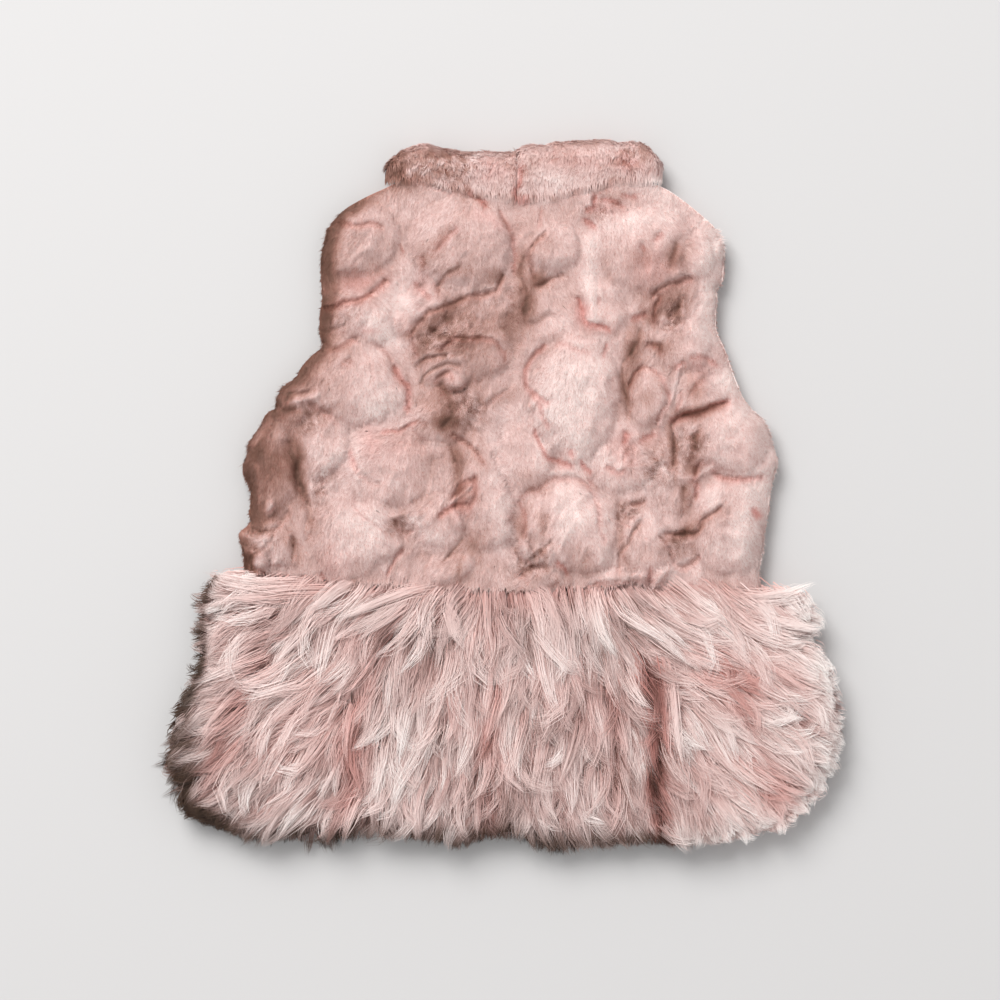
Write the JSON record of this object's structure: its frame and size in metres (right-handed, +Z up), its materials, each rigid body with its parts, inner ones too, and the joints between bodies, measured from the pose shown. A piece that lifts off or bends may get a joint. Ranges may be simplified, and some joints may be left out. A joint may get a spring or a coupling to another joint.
{
  "type": "faux fur vest",
  "caption": "Child's faux fur vest laid flat: carved short-pile fronts and back, a pressed stand collar and a long-haired hem band.",
  "frame": {"origin": "middle of the vest's footprint, on the surface that it lies on", "axes": "+Y from the hem to the neck, +X to the wearer's left, +Z up from the surface to the fronts"},
  "size_m": [0.4005, 0.4241, 0.0326],
  "materials": {
    "plush": "short carved pile, pale pink, dull",
    "long_hair": "long silky pile in locks, pale pink with light tips"
  },
  "bodies": {
    "root": {"back": "plush", "right_front": "plush", "left_front": "plush", "collar": "plush", "back_band": "long_hair", "right_front_band": "long_hair", "left_front_band": "long_hair"}
  },
  "joints": []
}
